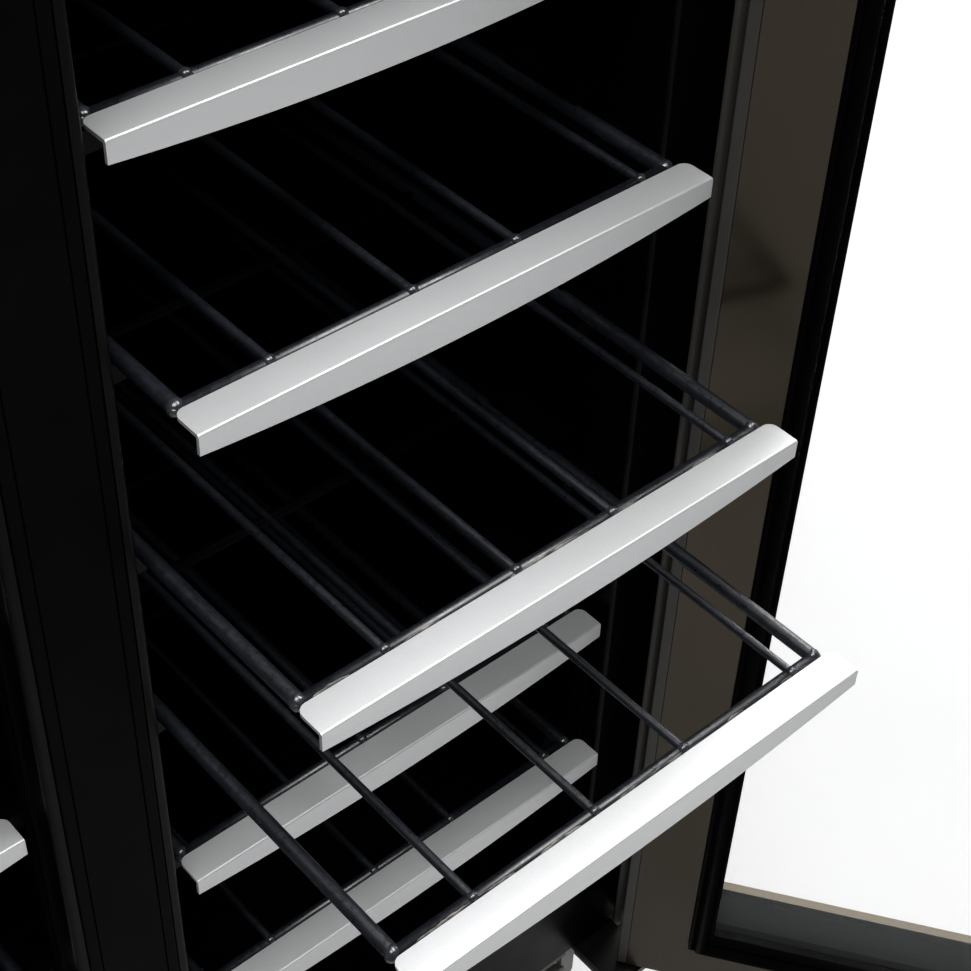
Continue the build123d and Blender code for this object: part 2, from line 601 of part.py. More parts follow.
# ---- refrigeration ---------------------------------------------------------------------------
MACHINE_LOW = PAN_Z + 3.0  # underside of what stands in the compressor bay
POT_R, POT_H, POT_ROUND = 66.0, 156.0, 26.0
with BuildPart() as compressor:
    x, y = 130.0, BACK - 88.0
    base_low = MACHINE_LOW + 10
    seam = MACHINE_LOW + 84
    rod((x, y, base_low + 2), (x, y, base_low + 2 + POT_H), POT_R)
    fillet(compressor.edges(), POT_ROUND)
    rod((x, y, seam), (x, y, seam + 6), POT_R + 3)
    block((x - 84, x + 84), (y - 40, y + 40), (base_low, base_low + 3))
    for right in (-74, 74):
        for back in (-30, 30):
            rod((x + right, y + back, MACHINE_LOW), (x + right, y + back, base_low), 9)
    block((x + 60, x + 82), (y - 24, y + 24), (MACHINE_LOW + 50, MACHINE_LOW + 110))
write(compressor, "compressor")

CONDENSER_H, FIN_HALF, FIN_PITCH = 170.0, 0.4, 10.0
TUBE_R, TUBE_PITCH = 4.0, 26.0
with BuildPart() as condenser:
    x_low, x_high, y = -250.0, -70.0, BACK - 70.0
    for x in (x_low, x_high):
        block((x - 1, x + 1), (y - 24, y + 24), (MACHINE_LOW, MACHINE_LOW + CONDENSER_H))
    for row in range(6):
        for back in (-12, 12):
            z = MACHINE_LOW + 20 + row * TUBE_PITCH
            rod((x_low - 6, y + back, z), (x_high + 6, y + back, z), TUBE_R)
    for i in range(17):
        x = x_low + (i + 1) * FIN_PITCH
        fin_z = (MACHINE_LOW + 6, MACHINE_LOW + CONDENSER_H - 6)
        block((x - FIN_HALF, x + FIN_HALF), (y - 20, y + 20), fin_z)
write(condenser, "condenser")

GLAND_X, GLAND_Z, GLAND_R, CORD_R = 230.0, 60.0, 11.0, 4.5
with BuildPart() as cord_gland:
    rod((GLAND_X, BACK - 30, GLAND_Z), (GLAND_X, BACK - 2, GLAND_Z), GLAND_R)
    block((GLAND_X - 18, GLAND_X + 18), (BACK - 24, BACK - 20), (MACHINE_LOW, GLAND_Z + 22))
    rod((GLAND_X, BACK - 31, GLAND_Z), (GLAND_X, BACK - 1, GLAND_Z), CORD_R, Mode.SUBTRACT)
write(cord_gland, "cord_gland")
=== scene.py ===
import json
import math

import bmesh
import bpy
from mathutils import Matrix, Vector


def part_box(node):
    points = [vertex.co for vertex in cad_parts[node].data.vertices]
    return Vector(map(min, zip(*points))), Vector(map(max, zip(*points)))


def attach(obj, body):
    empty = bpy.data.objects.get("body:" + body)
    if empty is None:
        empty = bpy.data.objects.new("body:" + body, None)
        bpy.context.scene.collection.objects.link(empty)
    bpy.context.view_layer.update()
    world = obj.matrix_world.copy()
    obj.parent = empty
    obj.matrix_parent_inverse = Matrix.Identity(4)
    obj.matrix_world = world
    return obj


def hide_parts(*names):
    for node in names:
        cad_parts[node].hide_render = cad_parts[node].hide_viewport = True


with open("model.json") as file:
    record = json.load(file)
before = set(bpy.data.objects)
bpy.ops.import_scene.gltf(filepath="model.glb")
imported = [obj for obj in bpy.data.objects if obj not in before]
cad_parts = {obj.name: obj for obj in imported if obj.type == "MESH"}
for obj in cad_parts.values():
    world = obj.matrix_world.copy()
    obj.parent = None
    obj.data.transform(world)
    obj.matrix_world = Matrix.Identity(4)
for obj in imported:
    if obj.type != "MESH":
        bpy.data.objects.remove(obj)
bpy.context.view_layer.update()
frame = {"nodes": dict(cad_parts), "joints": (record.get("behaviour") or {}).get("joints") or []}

MM = 0.001
SIDES = {"right": 1, "left": -1}
LEVELS = {"right": range(1, 7), "left": range(1, 6)}
JOINTS = {joint["name"]: joint for joint in frame["joints"]}


# ---- node helpers ----------------------------------------------------------------------------
def material(name, color, roughness, metallic=0.0, **sockets):
    """A Principled material with constant values on its own sockets."""
    made = bpy.data.materials.new(name)
    made.use_nodes = True
    shader = made.node_tree.nodes["Principled BSDF"]
    shader.inputs["Base Color"].default_value = (*color, 1.0)
    shader.inputs["Roughness"].default_value = roughness
    shader.inputs["Metallic"].default_value = metallic
    for socket, value in sockets.items():
        shader.inputs[socket.replace("_", " ")].default_value = value
    return made


def noise(made, scale, stretch=(1, 1, 1), detail=3.0):
    """A noise texture in the row frame, stretched along an axis by a small factor there."""
    nodes, links = made.node_tree.nodes, made.node_tree.links
    place = nodes.new("ShaderNodeTexCoord")
    mapping = nodes.new("ShaderNodeMapping")
    mapping.inputs["Scale"].default_value = stretch
    texture = nodes.new("ShaderNodeTexNoise")
    texture.inputs["Scale"].default_value = scale
    texture.inputs["Detail"].default_value = detail
    links.new(place.outputs["Object"], mapping.inputs["Vector"])
    links.new(mapping.outputs["Vector"], texture.inputs["Vector"])
    return texture.outputs["Fac"]


def remap(made, value, low, high, start=0.3, end=0.7):
    """value, which runs from start to end, turned into low to high."""
    node = made.node_tree.nodes.new("ShaderNodeMapRange")
    node.inputs["From Min"].default_value = start
    node.inputs["From Max"].default_value = end
    node.inputs["To Min"].default_value = low
    node.inputs["To Max"].default_value = high
    made.node_tree.links.new(value, node.inputs["Value"])
    return node.outputs["Result"]


def vary(made, value, socket, low, high):
    """A shader socket that runs from low to high with value."""
    shader = made.node_tree.nodes["Principled BSDF"]
    made.node_tree.links.new(remap(made, value, low, high), shader.inputs[socket])


def tint(made, value, dark, light, start=0.3, end=0.7):
    """Base colour that runs from dark to light with value."""
    node = made.node_tree.nodes.new("ShaderNodeMix")
    node.data_type = "RGBA"
    node.inputs["A"].default_value = (*dark, 1.0)
    node.inputs["B"].default_value = (*light, 1.0)
    made.node_tree.links.new(remap(made, value, 0, 1, start, end), node.inputs["Factor"])
    shader = made.node_tree.nodes["Principled BSDF"]
    made.node_tree.links.new(node.outputs["Result"], shader.inputs["Base Color"])


def bump(made, value, strength, distance):
    """Relief of the given depth in metres, from value."""
    nodes, links = made.node_tree.nodes, made.node_tree.links
    node = nodes.new("ShaderNodeBump")
    node.inputs["Strength"].default_value = strength
    node.inputs["Distance"].default_value = distance
    links.new(value, node.inputs["Height"])
    links.new(node.outputs["Normal"], nodes["Principled BSDF"].inputs["Normal"])


# ---- materials -------------------------------------------------------------------------------
def satin_silver():
    """Blasted and anodised trim: fine even grain, soft highlights."""
    made = material("satin_silver", (0.55, 0.555, 0.56), 0.46, 0.6)
    tint(made, noise(made, 3200, detail=4.0), (0.52, 0.525, 0.53), (0.585, 0.59, 0.595))
    vary(made, noise(made, 25), "Roughness", 0.44, 0.48)
    return made


def wire_coat():
    """Blue-black dipped coating on the rack wires."""
    made = material("wire_coat", (0.006, 0.007, 0.0095), 0.3, Specular_IOR_Level=0.85)
    tint(made, noise(made, 240), (0.004, 0.005, 0.007), (0.008, 0.0097, 0.0135))
    vary(made, noise(made, 500), "Roughness", 0.26, 0.40)
    bump(made, noise(made, 320, detail=2.0), 0.18, 0.15 * MM)
    return made


def weld_coat():
    """The same coating over a weld, drawn thin and glossy."""
    made = material("weld_coat", (0.03, 0.033, 0.038), 0.16, 0.5, Specular_IOR_Level=0.9)
    tint(made, noise(made, 420), (0.02, 0.022, 0.026), (0.06, 0.064, 0.07))
    vary(made, noise(made, 600), "Roughness", 0.12, 0.22)
    return made


def flux_and_painted_highlight():
    """Pale mottled flux left along the front rod; its paleness is partly its own colour and partly
    a painted highlight.
    """
    made = material("flux_and_painted_highlight", (0.1, 0.09, 0.08), 0.4, 0.2)
    mottle = noise(made, 420, (0.45, 1, 1), 6.0)
    # The pale end of this tint is a painted highlight as well as the flux's own colour.
    tint(made, mottle, (0.012, 0.013, 0.015), (0.2, 0.185, 0.165), 0.4, 0.68)
    bump(made, noise(made, 700), 0.3, 0.1 * MM)
    return made


def black_plastic(name, level, roughness, specular, grain=900):
    """Moulded black plastic or rubber, about level bright, with a fine grain."""
    made = material(name, (level,) * 3, roughness, Specular_IOR_Level=specular)
    tint(made, noise(made, 35), (level * 0.8,) * 3, (level * 1.25,) * 3)
    vary(made, noise(made, 60), "Roughness", roughness - 0.05, roughness + 0.06)
    bump(made, noise(made, grain), 0.08, 0.05 * MM)
    return made


def brushed(name, color, roughness, along=(1, 1, 0.012), depth=0.10):
    """Metal brushed along the axis whose stretch factor is small."""
    made = material(name, color, roughness, 1.0)
    lines = noise(made, 1500, along, 2.0)
    tint(made, lines, [c * 0.93 for c in color], [c * 1.06 for c in color])
    vary(made, noise(made, 400, along, 4.0), "Roughness", roughness - 0.04, roughness + 0.07)
    bump(made, lines, depth, 0.03 * MM)
    return made


def dark_stainless():
    """Fine vertical brushing under soft broad changes of sheen."""
    made = material("dark_stainless", (0.06, 0.051, 0.038), 0.24, 1.0)
    broad = noise(made, 7, (1, 1, 0.6), 2.0)
    tint(made, broad, (0.040, 0.034, 0.025), (0.056, 0.0475, 0.036))
    vary(made, broad, "Roughness", 0.2, 0.3)
    bump(made, noise(made, 2200, (1, 1, 0.02), 2.0), 0.035, 0.03 * MM)
    return made


def painted(name, color, roughness, peel=260, depth=0.12):
    """Sprayed paint with a slight orange peel."""
    made = material(name, color, roughness, Specular_IOR_Level=0.4)
    tint(made, noise(made, 8), [c * 0.97 for c in color], [c * 1.03 for c in color])
    vary(made, noise(made, 90), "Roughness", roughness - 0.02, roughness + 0.02)
    bump(made, noise(made, peel, detail=1.0), depth, 0.1 * MM)
    return made


def clear_glass():
    """Clear pane whose sheen changes a little across it."""
    made = material("door_glass", (0.55, 0.6, 0.6), 0.03, Specular_IOR_Level=0.6)
    made.node_tree.nodes["Principled BSDF"].inputs["Alpha"].default_value = 0.05
    vary(made, noise(made, 12), "Roughness", 0.02, 0.06)
    return made


def glowing(name, color, strength):
    """A printed or lit mark; strength 0 is unlit."""
    made = material(name, color, 0.5, Emission_Strength=strength)
    made.node_tree.nodes["Principled BSDF"].inputs["Emission Color"].default_value = (*color, 1.0)
    tint(made, noise(made, 300), [c * 0.9 for c in color], color)
    return made


SILVER = satin_silver()
WIRE = wire_coat()
WELD = weld_coat()
FLUX_AND_HIGHLIGHT = flux_and_painted_highlight()
# A darker, duller copy of the wire coating for the middle and rear cross rods: painted shade deep
# inside the rack.
SHADED_ROD_COAT = black_plastic("rod_coat_painted_shade", 0.001, 0.55, 0.02)
LINER = black_plastic("liner_black", 0.0008, 0.34, 0.04)
MULLION = black_plastic("mullion_black", 0.0012, 0.42, 0.012, 1400)
RETAINER = black_plastic("retainer_black", 0.0012, 0.45, 0.02)
RUBBER = black_plastic("gasket_rubber", 0.0009, 0.42, 0.012, 1800)
BLACK_PART = black_plastic("moulded_black", 0.012, 0.5, 0.3)
BUTTON = black_plastic("button_black", 0.02, 0.35, 0.5)
STAINLESS = dark_stainless()
HANDLE = brushed("handle_steel", (0.30, 0.29, 0.27), 0.26)
HINGE = brushed("hinge_steel", (0.03, 0.03, 0.029), 0.36, (0.02, 1, 1))
PIN = brushed("pin_steel", (0.55, 0.55, 0.55), 0.22, (1, 1, 1))
SHELL = painted("cabinet_paint", (0.04, 0.037, 0.031), 0.5)
BASE = painted("base_paint", (0.008, 0.008, 0.008), 0.45)
# The edge strip's paint, darker than the cabinet paint: its own colour with painted shade of the
# gap beside the hinge.
STRIP = painted("strip_paint_and_shade", (0.017, 0.0158, 0.0132), 0.5)
SHEET = painted("zinc_sheet", (0.30, 0.31, 0.31), 0.45, 90, 0.2)
GRILLE = painted("grille_grey", (0.20, 0.20, 0.195), 0.5)
POT = painted("compressor_black", (0.012, 0.012, 0.012), 0.25)
FINS = brushed("condenser_fins", (0.55, 0.55, 0.57), 0.35)
BOARD = painted("circuit_board", (0.02, 0.13, 0.05), 0.4)
FOAM = painted("foam", (0.72, 0.62, 0.36), 0.9, 700, 0.6)
GLASS = clear_glass()
LENS = black_plastic("display_lens", 0.004, 0.08, 0.6)
DIFFUSER = glowing("led_diffuser", (0.75, 0.8, 0.85), 0.0)
DIGITS = glowing("display_digits", (0.25, 0.6, 1.0), 2.5)
MARKS = glowing("button_marks", (0.55, 0.55, 0.55), 0.0)

NODE_MATERIALS = {
    "outer_shell": SHELL,
    "back_panel": SHEET,
    "foam_insulation": FOAM,
    "mullion_cover": MULLION,
    "display_lens": LENS,
    "control_board": BOARD,
    "base_frame": BASE,
    "toe_grille": GRILLE,
    "levelling_feet": BLACK_PART,
    "hinge_brackets": HINGE,
    "hinge_pins": PIN,
    "fan_motors": BLACK_PART,
    "led_strips": DIFFUSER,
    "compressor": POT,
    "condenser": FINS,
    "cord_gland": BLACK_PART,
}
for side in SIDES:
    NODE_MATERIALS |= {
        f"liner_{side}": LINER,
        f"evaporator_cover_{side}": LINER,
        f"fan_rotor_{side}": BLACK_PART,
        f"rack_ledges_{side}": LINER,
        f"door_frame_{side}": STAINLESS,
        f"door_edge_{side}": STRIP,
        f"door_glass_{side}": GLASS,
        f"door_retainer_{side}": RETAINER,
        f"door_handle_{side}": HANDLE,
    }
for name in ("power", "light", "up", "down"):
    NODE_MATERIALS[f"button_{name}"] = BUTTON
for name, made in NODE_MATERIALS.items():
    node = frame["nodes"][name]
    node.data.materials.clear()
    node.data.materials.append(made)


# ---- mesh helpers ----------------------------------------------------------------------------
JOIN_WITHIN, SHARP_ANGLE = 0.005 * MM, math.radians(35)
DOME_STEPS, DOME_START = 6, 0.35  # rings on a domed end, and where the first one sits in steps
WELD_WAVE = 0.06  # unevenness of a weld's skin


def piece(name, mesh, made, body):
    """A finished bmesh as an object that rides on a body, in a material slot."""
    bmesh.ops.recalc_face_normals(mesh, faces=mesh.faces)
    data = bpy.data.meshes.new(name)
    mesh.to_mesh(data)
    mesh.free()
    data.materials.append(made)
    data.shade_smooth()
    item = bpy.data.objects.new(name, data)
    bpy.context.scene.collection.objects.link(item)
    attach(item, body)
    return item


def soften(item, width):
    """Rounds an object's sharp edges, once its coincident vertices are joined."""
    item.modifiers.new("join", "WELD").merge_threshold = JOIN_WITHIN
    bevel = item.modifiers.new("soften", "BEVEL")
    bevel.width = width
    bevel.segments = 2
    bevel.limit_method = "ANGLE"
    bevel.angle_limit = SHARP_ANGLE
    bevel.harden_normals = True


def loft(mesh, rings, caps=True):
    """Faces between successive closed rings of points, all rings of the same length."""
    made = [[mesh.verts.new(point) for point in ring] for ring in rings]
    count = len(rings[0])
    for low, high in zip(made, made[1:]):
        for i in range(count):
            j = (i + 1) % count
            mesh.faces.new((low[i], low[j], high[j], high[i]))
    if caps:
        mesh.faces.new(made[0])
        mesh.faces.new(reversed(made[-1]))


def bar(mesh, start, end, radius, round_ends=True, segments=24):
    """A round bar from start to end, with ends domed beyond them or flat."""
    start, end = Vector(start), Vector(end)
    run = (end - start).normalized()
    across = run.orthogonal().normalized()
    other = run.cross(across)
    dome = []
    for i in range(DOME_STEPS if round_ends else 0):
        angle = math.pi / 2 * (i + DOME_START) / DOME_STEPS
        dome.append((run * radius * math.cos(angle), radius * math.sin(angle)))
    stations = [(start - beyond, r) for beyond, r in dome]
    stations += [(start, radius), (end, radius)]
    stations += [(end + beyond, r) for beyond, r in reversed(dome)]
    turns = [2 * math.pi * i / segments for i in range(segments)]
    rings = [
        [centre + (across * math.cos(t) + other * math.sin(t)) * r for t in turns]
        for centre, r in stations
    ]
    loft(mesh, rings)


def nugget(mesh, centre, size, seed):
    """A weld: a flattened blob with a slightly uneven skin."""
    made = bmesh.ops.create_icosphere(mesh, subdivisions=3, radius=1.0)
    for vertex in made["verts"]:
        p = vertex.co
        wave = math.sin(5 * p.x + seed) * math.cos(4 * p.y + 2 * seed) * math.sin(6 * p.z - seed)
        skin = p * (1 + WELD_WAVE * wave)
        vertex.co = Vector(centre) + Vector(a * b for a, b in zip(skin, size))


# ---- racks -----------------------------------------------------------------------------------
TRIM_DEPTH, TRIM_SHEET, RIDGE_R, CORNER_R = 14.2 * MM, 1.5 * MM, 1.0 * MM, 4.0 * MM
END_HEIGHT, MID_HEIGHT = 8.2 * MM, 13.8 * MM
THICK_R, THIN_R, ROD_R = 3.0 * MM, 1.8 * MM, 2.5 * MM
THICK_DROP, THIN_DROP, ROD_DROP = 2.0 * MM, 0.8 * MM, 2.2 * MM
THICK_AT = (3.5 * MM, 215.5 * MM)
THIN_AT = (38.3 * MM, 96.4 * MM, 142.1 * MM, 201.8 * MM)
ROD_AT = (16.8 * MM, 215.0 * MM, 423.0 * MM)
RACK_DEPTH = 432.0 * MM
TRIM_EDGE = 0.3 * MM  # rounding of the trim's edges
TIP_GAP = 0.3 * MM  # between the trim and the wires' domed ends
CARRIER_AT, CARRIER_T, CARRIER_EDGE = (13.0 * MM, 208.0 * MM), 5.0 * MM, 0.4 * MM
CARRIER_GAPS = (0.6 * MM, 0.1 * MM)  # behind and under the trim's sheet
THICK_CAP = (3.18 * MM,) * 3
THIN_CAP, THIN_CAP_LIFT = (2.35 * MM, 2.1 * MM, 1.9 * MM), 0.5 * MM
CAP_BACK = 0.1 * MM
WELD_PROUD, WELD_LOW = 0.5 * MM, 0.25 * MM  # beside the wire, and under the crossing
WELD_DEEP, WELD_TALL = 1.12 * ROD_R, 0.95 * ROD_R
CRUST_T, CRUST_ROOT = 0.12 * MM, 0.1 * MM  # thickness, and how far it goes into the rod
CRUST_UPPER, CRUST_LOWER, CRUST_RISE, CRUST_WANDER = 138, 156, 10, 14  # degrees round the rod
PATCHES = {  # shares of the front rod that carry flux with its painted highlight
    3: ((0.02, 0.09), (0.20, 0.27), (0.42, 0.60), (0.66, 0.71), (0.84, 0.90)),
    4: ((0.04, 0.25), (0.31, 0.40), (0.49, 0.68), (0.76, 0.80), (0.90, 0.97)),
}


def trim_columns(length):
    """Places along the trim, close together at its rounded ends."""
    ends = [CORNER_R * (1 - math.cos(math.pi / 2 * i / 8)) for i in range(9)]
    middle = [CORNER_R + (length - 2 * CORNER_R) * i / 40 for i in range(1, 40)]
    return ends + middle + [length - x for x in reversed(ends)]


def build_trim(side, level):
    """The folded front plate of a rack, with an arched lower edge and rounded rear corners."""
    node = f"rack_trim_{side}_{level}"
    low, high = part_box(node)
    length = high.x - low.x
    front, top = low.y, high.z
    rings = []
    for x in trim_columns(length):
        edge = min(x, length - x)
        inset = CORNER_R - math.sqrt(max(CORNER_R**2 - max(CORNER_R - edge, 0) ** 2, 0))
        back = TRIM_DEPTH - inset
        share = 2 * x / length - 1
        height = MID_HEIGHT - (MID_HEIGHT - END_HEIGHT) * share**2
        profile = [(back, 0.0)]
        for i in range(7):
            angle = math.pi / 2 * i / 6
            profile.append((RIDGE_R * (1 - math.sin(angle)), RIDGE_R * (math.cos(angle) - 1)))
        profile += [(0, -height), (TRIM_SHEET, -height)]
        profile += [(TRIM_SHEET, -TRIM_SHEET), (back, -TRIM_SHEET)]
        rings.append([(low.x + x, front + y, top + z) for y, z in profile])
    mesh = bmesh.new()
    loft(mesh, rings)
    item = piece(f"trim_{side}_{level}", mesh, SILVER, f"rack_{side}_{level}")
    soften(item, TRIM_EDGE)
    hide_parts(node)


def build_wires(side, level):
    """Wires, cross rods and the welds between them."""
    low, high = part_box(f"rack_trim_{side}_{level}")
    left, front, top = low.x, low.y, high.z
    body = f"rack_{side}_{level}"
    wires = [(x, THICK_R, THICK_DROP, THICK_CAP, 0) for x in THICK_AT]
    wires += [(x, THIN_R, THIN_DROP, THIN_CAP, THIN_CAP_LIFT) for x in THIN_AT]
    mesh, rods, welds = bmesh.new(), bmesh.new(), bmesh.new()
    for i, (x, radius, drop, cap, lift) in enumerate(wires):
        tip = front + TRIM_DEPTH + radius + TIP_GAP
        tail = front + RACK_DEPTH - radius
        bar(mesh, (left + x, tip, top - drop), (left + x, tail, top - drop), radius)
        nugget(welds, (left + x, tip + CAP_BACK, top - drop + lift), cap, 3 * i + level)
        for j, y in enumerate(ROD_AT):
            centre = (left + x, front + y, top - (drop + ROD_DROP) / 2 - WELD_LOW)
            size = (radius + WELD_PROUD, WELD_DEEP, WELD_TALL)
            nugget(welds if j == 0 else rods, centre, size, 3 * i + j + level)
    for y in ROD_AT:
        ends = [(left + x, front + y, top - ROD_DROP) for x in THICK_AT]
        bar(mesh if y == ROD_AT[0] else rods, ends[0], ends[1], ROD_R, False, 32)
    item = piece(f"wires_{side}_{level}", mesh, WIRE, body)
    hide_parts(f"rack_frame_{side}_{level}")
    # The middle and rear cross rods and their welds take the darker copy of the wire coating,
    # which is painted shade.
    piece(f"rods_{side}_{level}", rods, SHADED_ROD_COAT, body)
    piece(f"welds_{side}_{level}", welds, WELD, body)


def build_carrier(side, level):
    """The bar under the trim that ties it to the front rod."""
    low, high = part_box(f"rack_trim_{side}_{level}")
    y0, y1 = low.y + TRIM_SHEET + CARRIER_GAPS[0], low.y + ROD_AT[0]
    z1 = high.z - TRIM_SHEET - CARRIER_GAPS[1]
    z0 = z1 - CARRIER_T
    mesh = bmesh.new()
    profile = [(y0, z1), (y1, z1), (y1, z0), (y0, z0)]
    loft(mesh, [[(low.x + x, y, z) for y, z in profile] for x in CARRIER_AT])
    item = piece(f"carrier_{side}_{level}", mesh, WIRE, f"rack_{side}_{level}")
    soften(item, CARRIER_EDGE)


def build_flux_and_highlight(side, level):
    """Thin crusts on the front rod's side that faces the trim, each thicker in its middle."""
    low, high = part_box(f"rack_trim_{side}_{level}")
    rod_y, rod_z = low.y + ROD_AT[0], high.z - ROD_DROP
    start, run = low.x + THICK_AT[0], THICK_AT[1] - THICK_AT[0]
    mesh = bmesh.new()
    for first, last in PATCHES[level]:
        rings = []
        for i in range(41):
            x = start + run * (first + (last - first) * i / 40)
            taper = math.sqrt(max(math.sin(math.pi * i / 40), 0))
            wander = 0.5 + 0.5 * math.sin(900 * x + level) * math.cos(410 * x)
            upper = CRUST_UPPER - (CRUST_RISE + CRUST_WANDER * wander) * taper
            crust, core = [], []
            for k in range(7):
                angle = math.radians(upper + (CRUST_LOWER - upper) * k / 6)
                out = ROD_R + CRUST_T * math.sin(math.pi * k / 6)
                for ring, reach in ((crust, out), (core, ROD_R - CRUST_ROOT)):
                    y, z = reach * math.cos(angle), reach * math.sin(angle)
                    ring.append((x, rod_y + y, rod_z + z))
            rings.append(crust + list(reversed(core)))
        loft(mesh, rings)
    # The crusts' pale colour is partly a painted highlight along the rod.
    piece(f"flux_highlight_{side}_{level}", mesh, FLUX_AND_HIGHLIGHT, f"rack_{side}_{level}")


for side, levels in LEVELS.items():
    for level in levels:
        build_trim(side, level)
        build_wires(side, level)
        build_carrier(side, level)
for level in PATCHES:
    build_flux_and_highlight("right", level)

# ---- doors -----------------------------------------------------------------------------------
OPEN = math.radians(-JOINTS["door_left_hinge"]["range_deg"][0])
STILE, FREE_STILE, EDGE_STRIP, GASKET_INSET = 31.0 * MM, 8.0 * MM, 5.5 * MM, 0.5 * MM
FRAME_EDGE, STRIP_EDGE = 0.6 * MM, 0.9 * MM  # rounding of the edges
PIVOT_IN, PIVOT_DEEP = 10.8 * MM, 12.6 * MM
DOOR_WIDTH = 296.0 * MM
GASKET_PROFILE = [  # across the strip, height above the door's inner face, in millimetres
    (0.0, 0.0), (0.0, 3.4), (0.5, 4.3), (1.3, 4.6), (2.1, 4.1), (2.5, 3.2), (2.9, 3.0),
    (3.3, 5.4), (4.0, 7.4), (5.0, 8.8), (6.3, 9.6), (7.5, 9.4), (8.4, 8.3), (8.9, 6.4), (9.1, 4.2),
    (9.5, 3.4), (10.0, 4.6), (10.7, 5.0), (11.5, 4.6), (12.0, 3.6), (12.0, 0.0),
]


def door_point(side, along, out, z):
    """A place on the open door, from its hinge axis: towards the free edge, and outwards."""
    s, pivot = SIDES[side], JOINTS[f"door_{side}_hinge"]["pos_m"]
    x = pivot[0] - s * math.cos(OPEN) * along + s * math.sin(OPEN) * out
    return Vector((x, pivot[1] - math.sin(OPEN) * along - math.cos(OPEN) * out, z))


def build_gasket(side):
    """The sealing strip: one profile run round the door's inner face."""
    low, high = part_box(f"door_frame_{side}")
    mesh = bmesh.new()
    loops = []
    for across, height in GASKET_PROFILE:
        a0 = -PIVOT_IN + EDGE_STRIP + STILE + GASKET_INSET + across * MM
        a1 = DOOR_WIDTH - PIVOT_IN - FREE_STILE - GASKET_INSET - across * MM
        z0 = low.z + STILE + GASKET_INSET + across * MM
        z1 = high.z - STILE - GASKET_INSET - across * MM
        out = -PIVOT_DEEP - height * MM
        corners = ((a0, z0), (a1, z0), (a1, z1), (a0, z1))
        loops.append([door_point(side, a, out, z) for a, z in corners])
    loft(mesh, loops, caps=False)
    item = piece(f"gasket_{side}", mesh, RUBBER, f"door_{side}")
    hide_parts(f"door_gasket_{side}")


for side in SIDES:
    build_gasket(side)
    soften(frame["nodes"][f"door_frame_{side}"], FRAME_EDGE)
    soften(frame["nodes"][f"door_edge_{side}"], STRIP_EDGE)

# ---- control panel ---------------------------------------------------------------------------
SEGMENTS = {"1": "bc", "2": "abged", "5": "afgcd"}
DIGIT_PLACES = {-10.6 * MM: "1", -5.0 * MM: "2", 1.0 * MM: "1", 6.4 * MM: "5"}
DIGIT_W, DIGIT_H, STROKE = 4.2 * MM, 8.0 * MM, 0.9 * MM
DIGIT_GAP, DIGIT_T = 0.02 * MM, 0.05 * MM  # in front of the lens, and thickness
MARK_SIZE, MARK_GAP, MARK_T = 1.8 * MM, 0.01 * MM, 0.08 * MM
ROUND, DIAMOND = 24, 4  # corners of a mark's outline


def plate(mesh, outline, front, depth):
    """A thin raised mark on a face that looks towards -Y, its outline given as (x, z)."""
    loft(mesh, [[(x, y, z) for x, z in outline] for y in (front, front - depth)])


def build_digits():
    """Seven-segment digits in front of the display lens."""
    low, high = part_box("display_lens")
    middle = (low + high) / 2
    base, half, right = middle.z - DIGIT_H / 2, (DIGIT_H - STROKE) / 2, DIGIT_W - STROKE
    bars = {
        "a": (0, 2 * half, DIGIT_W, STROKE),
        "g": (0, half, DIGIT_W, STROKE),
        "d": (0, 0, DIGIT_W, STROKE),
        "f": (0, half, STROKE, half),
        "e": (0, 0, STROKE, half),
        "b": (right, half, STROKE, half),
        "c": (right, 0, STROKE, half),
    }
    mesh = bmesh.new()
    for offset, digit in DIGIT_PLACES.items():
        for name in SEGMENTS[digit]:
            x, z, width, height = bars[name]
            x0, z0 = middle.x + offset + x, base + z
            x1, z1 = x0 + width, z0 + height
            outline = [(x0, z0), (x1, z0), (x1, z1), (x0, z1)]
            plate(mesh, outline, low.y - DIGIT_GAP, DIGIT_T)
    piece("display_digits", mesh, DIGITS, "cabinet")


def build_button_mark(name):
    """An arrow, a diamond or a dot on a button."""
    low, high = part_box(f"button_{name}")
    centre = (low + high) / 2
    if name in ("up", "down"):
        lift = MARK_SIZE / 2 if name == "up" else -MARK_SIZE / 2
        corners = [(-MARK_SIZE, -lift), (MARK_SIZE, -lift), (0, lift)]
    else:
        count = DIAMOND if name == "light" else ROUND
        turns = [2 * math.pi * i / count for i in range(count)]
        corners = [(MARK_SIZE * math.cos(t), MARK_SIZE * math.sin(t)) for t in turns]
    mesh = bmesh.new()
    outline = [(centre.x + x, centre.z + z) for x, z in corners]
    plate(mesh, outline, low.y - MARK_GAP, MARK_T)
    piece(f"button_mark_{name}", mesh, MARKS, f"button_{name}")


build_digits()
for name in ("power", "light", "up", "down"):
    build_button_mark(name)

# ---- stage, light and camera -----------------------------------------------------------------
FLOOR_SIZE = 14.0
CAMERA_AT = (-0.1982, -0.5376, 1.0035)
LOOK_AZIMUTH, LOOK_DOWN, ROLL = 0.747, 0.7449, 0.044  # radians
FOCAL_LENGTH, SENSOR_WIDTH = 71.6, 36.0
CLIP_NEAR, CLIP_FAR = 0.02, 50.0
SKY_COLOR, SKY_STRENGTH = (0.95, 0.97, 1.0), 0.12
SOFTBOXES = {  # place, aim, size, power in watts
    "overhead_softbox": ((0.4, -0.7, 2.9), (0.4, -0.2, 0.0), (2.6, 1.6), 54),
    "left_softbox": ((-0.7, -0.8, 2.7), (0.15, -0.2, 0.5), (1.2, 1.2), 36),
    "key_softbox": ((1.1, -0.6, 2.3), (0.15, -0.15, 0.6), (0.7, 0.7), 16),
    "rear_softbox": ((1.3, 0.9, 2.4), (0.15, -0.2, 0.5), (2.4, 2.0), 90),
    "side_softbox": ((2.4, 0.2, 1.5), (0.15, -0.2, 0.5), (1.6, 1.6), 25),
}


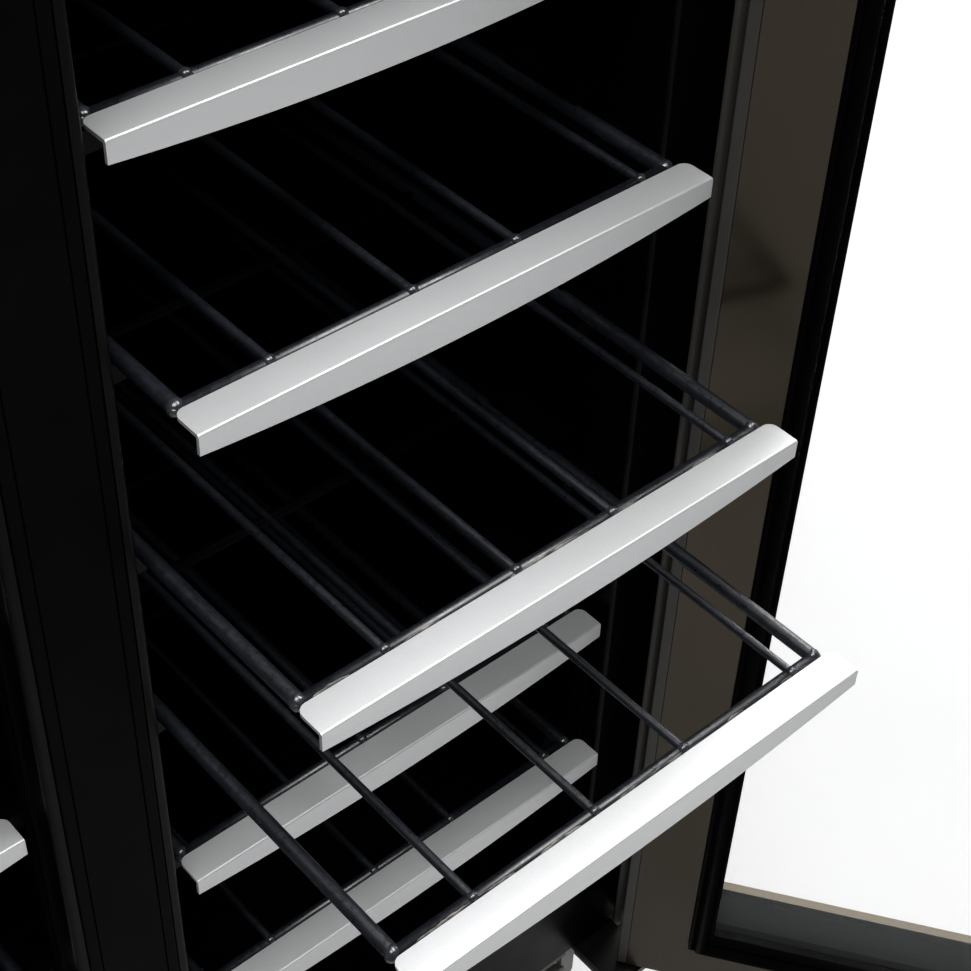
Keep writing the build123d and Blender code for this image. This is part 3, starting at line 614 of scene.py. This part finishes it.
def add_floor():
    """A wide pale sheet at z = 0."""
    mesh = bmesh.new()
    half = FLOOR_SIZE / 2
    corners = [(-half, -half, 0), (half, -half, 0), (half, half, 0), (-half, half, 0)]
    mesh.faces.new([mesh.verts.new(corner) for corner in corners])
    data = bpy.data.meshes.new("floor")
    mesh.to_mesh(data)
    mesh.free()
    made = material("pale_floor", (0.52, 0.52, 0.52), 0.8, Specular_IOR_Level=0.1)
    tint(made, noise(made, 3), (0.51, 0.51, 0.51), (0.53, 0.53, 0.53))
    data.materials.append(made)
    floor = bpy.data.objects.new("floor", data)
    bpy.context.scene.collection.objects.link(floor)


def add_light(name, at, target, size, power):
    """A rectangular softbox that faces its target."""
    data = bpy.data.lights.new(name, "AREA")
    data.shape = "RECTANGLE"
    data.size, data.size_y = size
    data.energy = power
    light = bpy.data.objects.new(name, data)
    light.location = at
    light.rotation_euler = (Vector(target) - Vector(at)).to_track_quat("-Z", "Y").to_euler()
    bpy.context.scene.collection.objects.link(light)


def add_world():
    """Weak even light from all round."""
    world = bpy.data.worlds.new("studio")
    world.use_nodes = True
    background = world.node_tree.nodes["Background"]
    background.inputs["Color"].default_value = (*SKY_COLOR, 1.0)
    background.inputs["Strength"].default_value = SKY_STRENGTH
    bpy.context.scene.world = world


def add_camera():
    """The camera, aimed by its azimuth from +Y towards +X, its angle down and its roll."""
    data = bpy.data.cameras.new("camera")
    data.lens, data.sensor_width = FOCAL_LENGTH, SENSOR_WIDTH
    data.clip_start, data.clip_end = CLIP_NEAR, CLIP_FAR
    camera = bpy.data.objects.new("camera", data)
    away = Vector((
        math.sin(LOOK_AZIMUTH) * math.cos(LOOK_DOWN),
        math.cos(LOOK_AZIMUTH) * math.cos(LOOK_DOWN),
        -math.sin(LOOK_DOWN),
    ))
    level = Vector((math.cos(LOOK_AZIMUTH), -math.sin(LOOK_AZIMUTH), 0))
    up = level.cross(away)
    right = level * math.cos(ROLL) + up * math.sin(ROLL)
    above = up * math.cos(ROLL) - level * math.sin(ROLL)
    turn = Matrix((right, above, -away)).transposed()
    camera.matrix_world = Matrix.Translation(CAMERA_AT) @ turn.to_4x4()
    bpy.context.scene.collection.objects.link(camera)
    bpy.context.scene.camera = camera


add_floor()
add_world()
add_camera()
for name, (at, target, size, power) in SOFTBOXES.items():
    add_light(name, at, target, size, power)
bpy.context.scene.view_settings.view_transform = "Standard"
